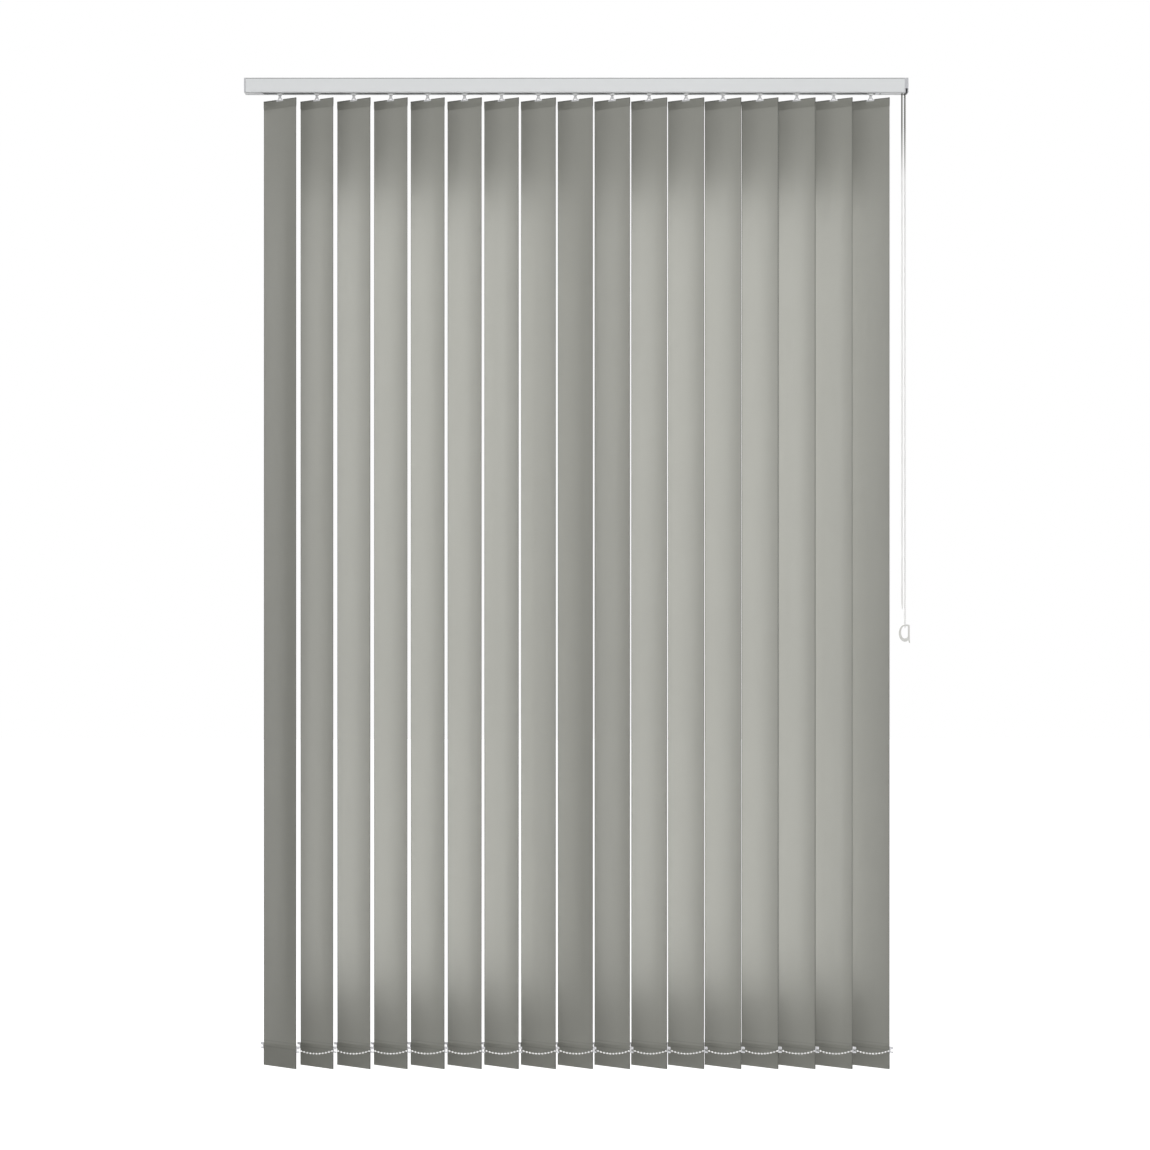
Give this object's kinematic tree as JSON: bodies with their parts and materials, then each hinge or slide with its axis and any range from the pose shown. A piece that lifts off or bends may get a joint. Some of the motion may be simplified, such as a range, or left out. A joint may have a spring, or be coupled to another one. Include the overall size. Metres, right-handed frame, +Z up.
{
  "type": "vertical blind",
  "caption": "Vertical blind with grey fabric slats under a slim pale headrail, turned by a ball chain, drawn aside by a cord loop and linked along the bottom by beaded chains.",
  "frame": {"origin": "middle of the headrail's top face, between the two fixing holes", "axes": "+X along the headrail to the control end, +Y from the room side to the window, +Z up"},
  "size_m": [1.4066, 0.061, 2.0875],
  "materials": {
    "rail": "satin powder coat",
    "plastic": "fine moulded",
    "metal": "zinc plated",
    "cord": "braided polyester",
    "chain": "moulded beads",
    "slat": "woven, stiffened"
  },
  "bodies": {
    "rail": {"headrail": "rail", "idle_end_cap": "plastic", "control_end_cap": "plastic", "mounting_clip_left": "metal", "mounting_clip_right": "metal", "pulley_axle": "metal", "return_pulley_pin": "metal", "traverse_cord_runs": "cord", "traverse_cord": "cord", "control_chain": "chain", "chain_tidy": "plastic", "carrier_17": "plastic"},
    "tilt_drive": {"tilt_rod": "metal", "chain_wheel": "plastic"},
    "front_cord_pulley": {"front_cord_pulley": "plastic"},
    "rear_cord_pulley": {"rear_cord_pulley": "plastic"},
    "return_pulley": {"return_pulley": "plastic"},
    "front_link_chain": {"front_link_chain": "chain"},
    "rear_link_chain": {"rear_link_chain": "chain"},
    "carrier_01": {"carrier_01": "plastic"},
    "slat_01": {"slat_01": "slat"},
    "carrier_02": {"carrier_02": "plastic"},
    "slat_02": {"slat_02": "slat"},
    "carrier_03": {"carrier_03": "plastic"},
    "slat_03": {"slat_03": "slat"},
    "carrier_04": {"carrier_04": "plastic"},
    "slat_04": {"slat_04": "slat"},
    "carrier_05": {"carrier_05": "plastic"},
    "slat_05": {"slat_05": "slat"},
    "carrier_06": {"carrier_06": "plastic"},
    "slat_06": {"slat_06": "slat"},
    "carrier_07": {"carrier_07": "plastic"},
    "slat_07": {"slat_07": "slat"},
    "carrier_08": {"carrier_08": "plastic"},
    "slat_08": {"slat_08": "slat"},
    "carrier_09": {"carrier_09": "plastic"},
    "slat_09": {"slat_09": "slat"},
    "carrier_10": {"carrier_10": "plastic"},
    "slat_10": {"slat_10": "slat"},
    "carrier_11": {"carrier_11": "plastic"},
    "slat_11": {"slat_11": "slat"},
    "carrier_12": {"carrier_12": "plastic"},
    "slat_12": {"slat_12": "slat"},
    "carrier_13": {"carrier_13": "plastic"},
    "slat_13": {"slat_13": "slat"},
    "carrier_14": {"carrier_14": "plastic"},
    "slat_14": {"slat_14": "slat"},
    "carrier_15": {"carrier_15": "plastic"},
    "slat_15": {"slat_15": "slat"},
    "carrier_16": {"carrier_16": "plastic"},
    "slat_16": {"slat_16": "slat"},
    "slat_17": {"slat_17": "slat"}
  },
  "joints": [
    {"name": "carrier_01_slide", "type": "slide", "parent": "rail", "child": "carrier_01", "axis": [1, 0, 0], "range_m": [0, 0.992], "deforming": ["front_link_chain", "rear_link_chain"]},
    {"name": "carrier_02_slide", "type": "slide", "parent": "rail", "child": "carrier_02", "axis": [1, 0, 0], "range_m": [0, 0.93]},
    {"name": "carrier_03_slide", "type": "slide", "parent": "rail", "child": "carrier_03", "axis": [1, 0, 0], "range_m": [0, 0.868]},
    {"name": "carrier_04_slide", "type": "slide", "parent": "rail", "child": "carrier_04", "axis": [1, 0, 0], "range_m": [0, 0.806]},
    {"name": "carrier_05_slide", "type": "slide", "parent": "rail", "child": "carrier_05", "axis": [1, 0, 0], "range_m": [0, 0.744]},
    {"name": "carrier_06_slide", "type": "slide", "parent": "rail", "child": "carrier_06", "axis": [1, 0, 0], "range_m": [0, 0.682]},
    {"name": "carrier_07_slide", "type": "slide", "parent": "rail", "child": "carrier_07", "axis": [1, 0, 0], "range_m": [0, 0.62]},
    {"name": "carrier_08_slide", "type": "slide", "parent": "rail", "child": "carrier_08", "axis": [1, 0, 0], "range_m": [0, 0.558]},
    {"name": "carrier_09_slide", "type": "slide", "parent": "rail", "child": "carrier_09", "axis": [1, 0, 0], "range_m": [0, 0.496]},
    {"name": "carrier_10_slide", "type": "slide", "parent": "rail", "child": "carrier_10", "axis": [1, 0, 0], "range_m": [0, 0.434]},
    {"name": "carrier_11_slide", "type": "slide", "parent": "rail", "child": "carrier_11", "axis": [1, 0, 0], "range_m": [0, 0.372]},
    {"name": "carrier_12_slide", "type": "slide", "parent": "rail", "child": "carrier_12", "axis": [1, 0, 0], "range_m": [0, 0.31]},
    {"name": "carrier_13_slide", "type": "slide", "parent": "rail", "child": "carrier_13", "axis": [1, 0, 0], "range_m": [0, 0.248]},
    {"name": "carrier_14_slide", "type": "slide", "parent": "rail", "child": "carrier_14", "axis": [1, 0, 0], "range_m": [0, 0.186]},
    {"name": "carrier_15_slide", "type": "slide", "parent": "rail", "child": "carrier_15", "axis": [1, 0, 0], "range_m": [0, 0.124]},
    {"name": "carrier_16_slide", "type": "slide", "parent": "rail", "child": "carrier_16", "axis": [1, 0, 0], "range_m": [0, 0.062]},
    {"name": "slat_01_tilt", "type": "hinge", "parent": "carrier_01", "child": "slat_01", "pos_m": [-0.626, 0, -0.03], "axis": [0, 0, -1], "range_deg": [-25, 137]},
    {"name": "slat_02_tilt", "type": "hinge", "parent": "carrier_02", "child": "slat_02", "pos_m": [-0.548, 0, -0.03], "axis": [0, 0, -1], "range_deg": [-25, 137]},
    {"name": "slat_03_tilt", "type": "hinge", "parent": "carrier_03", "child": "slat_03", "pos_m": [-0.47, 0, -0.03], "axis": [0, 0, -1], "range_deg": [-25, 137]},
    {"name": "slat_04_tilt", "type": "hinge", "parent": "carrier_04", "child": "slat_04", "pos_m": [-0.392, 0, -0.03], "axis": [0, 0, -1], "range_deg": [-25, 137]},
    {"name": "slat_05_tilt", "type": "hinge", "parent": "carrier_05", "child": "slat_05", "pos_m": [-0.314, 0, -0.03], "axis": [0, 0, -1], "range_deg": [-25, 137]},
    {"name": "slat_06_tilt", "type": "hinge", "parent": "carrier_06", "child": "slat_06", "pos_m": [-0.236, 0, -0.03], "axis": [0, 0, -1], "range_deg": [-25, 137]},
    {"name": "slat_07_tilt", "type": "hinge", "parent": "carrier_07", "child": "slat_07", "pos_m": [-0.158, 0, -0.03], "axis": [0, 0, -1], "range_deg": [-25, 137]},
    {"name": "slat_08_tilt", "type": "hinge", "parent": "carrier_08", "child": "slat_08", "pos_m": [-0.08, 0, -0.03], "axis": [0, 0, -1], "range_deg": [-25, 137]},
    {"name": "slat_09_tilt", "type": "hinge", "parent": "carrier_09", "child": "slat_09", "pos_m": [-0.002, 0, -0.03], "axis": [0, 0, -1], "range_deg": [-25, 137]},
    {"name": "slat_10_tilt", "type": "hinge", "parent": "carrier_10", "child": "slat_10", "pos_m": [0.076, 0, -0.03], "axis": [0, 0, -1], "range_deg": [-25, 137]},
    {"name": "slat_11_tilt", "type": "hinge", "parent": "carrier_11", "child": "slat_11", "pos_m": [0.154, 0, -0.03], "axis": [0, 0, -1], "range_deg": [-25, 137]},
    {"name": "slat_12_tilt", "type": "hinge", "parent": "carrier_12", "child": "slat_12", "pos_m": [0.232, 0, -0.03], "axis": [0, 0, -1], "range_deg": [-25, 137]},
    {"name": "slat_13_tilt", "type": "hinge", "parent": "carrier_13", "child": "slat_13", "pos_m": [0.31, 0, -0.03], "axis": [0, 0, -1], "range_deg": [-25, 137]},
    {"name": "slat_14_tilt", "type": "hinge", "parent": "carrier_14", "child": "slat_14", "pos_m": [0.388, 0, -0.03], "axis": [0, 0, -1], "range_deg": [-25, 137]},
    {"name": "slat_15_tilt", "type": "hinge", "parent": "carrier_15", "child": "slat_15", "pos_m": [0.466, 0, -0.03], "axis": [0, 0, -1], "range_deg": [-25, 137]},
    {"name": "slat_16_tilt", "type": "hinge", "parent": "carrier_16", "child": "slat_16", "pos_m": [0.544, 0, -0.03], "axis": [0, 0, -1], "range_deg": [-25, 137]},
    {"name": "slat_17_tilt", "type": "hinge", "parent": "rail", "child": "slat_17", "pos_m": [0.622, 0, -0.03], "axis": [0, 0, -1], "range_deg": [-25, 137]},
    {"name": "tilt_rod_spin", "type": "hinge", "parent": "rail", "child": "tilt_drive", "pos_m": [0, 0.007, -0.023], "axis": [1, 0, 0], "range_deg": [-300, 1644]},
    {"name": "front_cord_pulley_spin", "type": "hinge", "parent": "rail", "child": "front_cord_pulley", "pos_m": [0.6835, -0.005, -0.0142], "axis": [0, 1, 0], "continuous": true},
    {"name": "rear_cord_pulley_spin", "type": "hinge", "parent": "rail", "child": "rear_cord_pulley", "pos_m": [0.6835, 0.0026, -0.0142], "axis": [0, 1, 0], "continuous": true},
    {"name": "return_pulley_spin", "type": "hinge", "parent": "rail", "child": "return_pulley", "pos_m": [-0.684, -0.0012, -0.0097], "axis": [0, 0, 1], "continuous": true},
    {"name": "front_link_chain_swing", "type": "hinge", "parent": "slat_17", "child": "front_link_chain", "pos_m": [0.66304, -0.02768, -2.046], "axis": [0, 0, -1], "range_deg": [-137, 25]},
    {"name": "rear_link_chain_swing", "type": "hinge", "parent": "slat_17", "child": "rear_link_chain", "pos_m": [0.58096, 0.02768, -2.046], "axis": [0, 0, -1], "range_deg": [-137, 25]}
  ],
  "couplings": [
    {"joint": "carrier_02_slide", "follows": "carrier_01_slide", "ratio": 0.9375},
    {"joint": "carrier_03_slide", "follows": "carrier_01_slide", "ratio": 0.875},
    {"joint": "carrier_04_slide", "follows": "carrier_01_slide", "ratio": 0.8125},
    {"joint": "carrier_05_slide", "follows": "carrier_01_slide", "ratio": 0.75},
    {"joint": "carrier_06_slide", "follows": "carrier_01_slide", "ratio": 0.6875},
    {"joint": "carrier_07_slide", "follows": "carrier_01_slide", "ratio": 0.625},
    {"joint": "carrier_08_slide", "follows": "carrier_01_slide", "ratio": 0.5625},
    {"joint": "carrier_09_slide", "follows": "carrier_01_slide", "ratio": 0.5},
    {"joint": "carrier_10_slide", "follows": "carrier_01_slide", "ratio": 0.4375},
    {"joint": "carrier_11_slide", "follows": "carrier_01_slide", "ratio": 0.375},
    {"joint": "carrier_12_slide", "follows": "carrier_01_slide", "ratio": 0.3125},
    {"joint": "carrier_13_slide", "follows": "carrier_01_slide", "ratio": 0.25},
    {"joint": "carrier_14_slide", "follows": "carrier_01_slide", "ratio": 0.1875},
    {"joint": "carrier_15_slide", "follows": "carrier_01_slide", "ratio": 0.125},
    {"joint": "carrier_16_slide", "follows": "carrier_01_slide", "ratio": 0.0625},
    {"joint": "slat_02_tilt", "follows": "slat_01_tilt", "ratio": 1},
    {"joint": "slat_03_tilt", "follows": "slat_01_tilt", "ratio": 1},
    {"joint": "slat_04_tilt", "follows": "slat_01_tilt", "ratio": 1},
    {"joint": "slat_05_tilt", "follows": "slat_01_tilt", "ratio": 1},
    {"joint": "slat_06_tilt", "follows": "slat_01_tilt", "ratio": 1},
    {"joint": "slat_07_tilt", "follows": "slat_01_tilt", "ratio": 1},
    {"joint": "slat_08_tilt", "follows": "slat_01_tilt", "ratio": 1},
    {"joint": "slat_09_tilt", "follows": "slat_01_tilt", "ratio": 1},
    {"joint": "slat_10_tilt", "follows": "slat_01_tilt", "ratio": 1},
    {"joint": "slat_11_tilt", "follows": "slat_01_tilt", "ratio": 1},
    {"joint": "slat_12_tilt", "follows": "slat_01_tilt", "ratio": 1},
    {"joint": "slat_13_tilt", "follows": "slat_01_tilt", "ratio": 1},
    {"joint": "slat_14_tilt", "follows": "slat_01_tilt", "ratio": 1},
    {"joint": "slat_15_tilt", "follows": "slat_01_tilt", "ratio": 1},
    {"joint": "slat_16_tilt", "follows": "slat_01_tilt", "ratio": 1},
    {"joint": "slat_17_tilt", "follows": "slat_01_tilt", "ratio": 1},
    {"joint": "tilt_rod_spin", "follows": "slat_01_tilt", "ratio": 12},
    {"joint": "front_cord_pulley_spin", "follows": "carrier_01_slide", "rad_per_m": 222.22},
    {"joint": "rear_cord_pulley_spin", "follows": "carrier_01_slide", "rad_per_m": -222.22},
    {"joint": "return_pulley_spin", "follows": "carrier_01_slide", "rad_per_m": 263.16},
    {"joint": "front_link_chain_swing", "follows": "slat_01_tilt", "ratio": -1},
    {"joint": "rear_link_chain_swing", "follows": "slat_01_tilt", "ratio": -1}
  ]
}
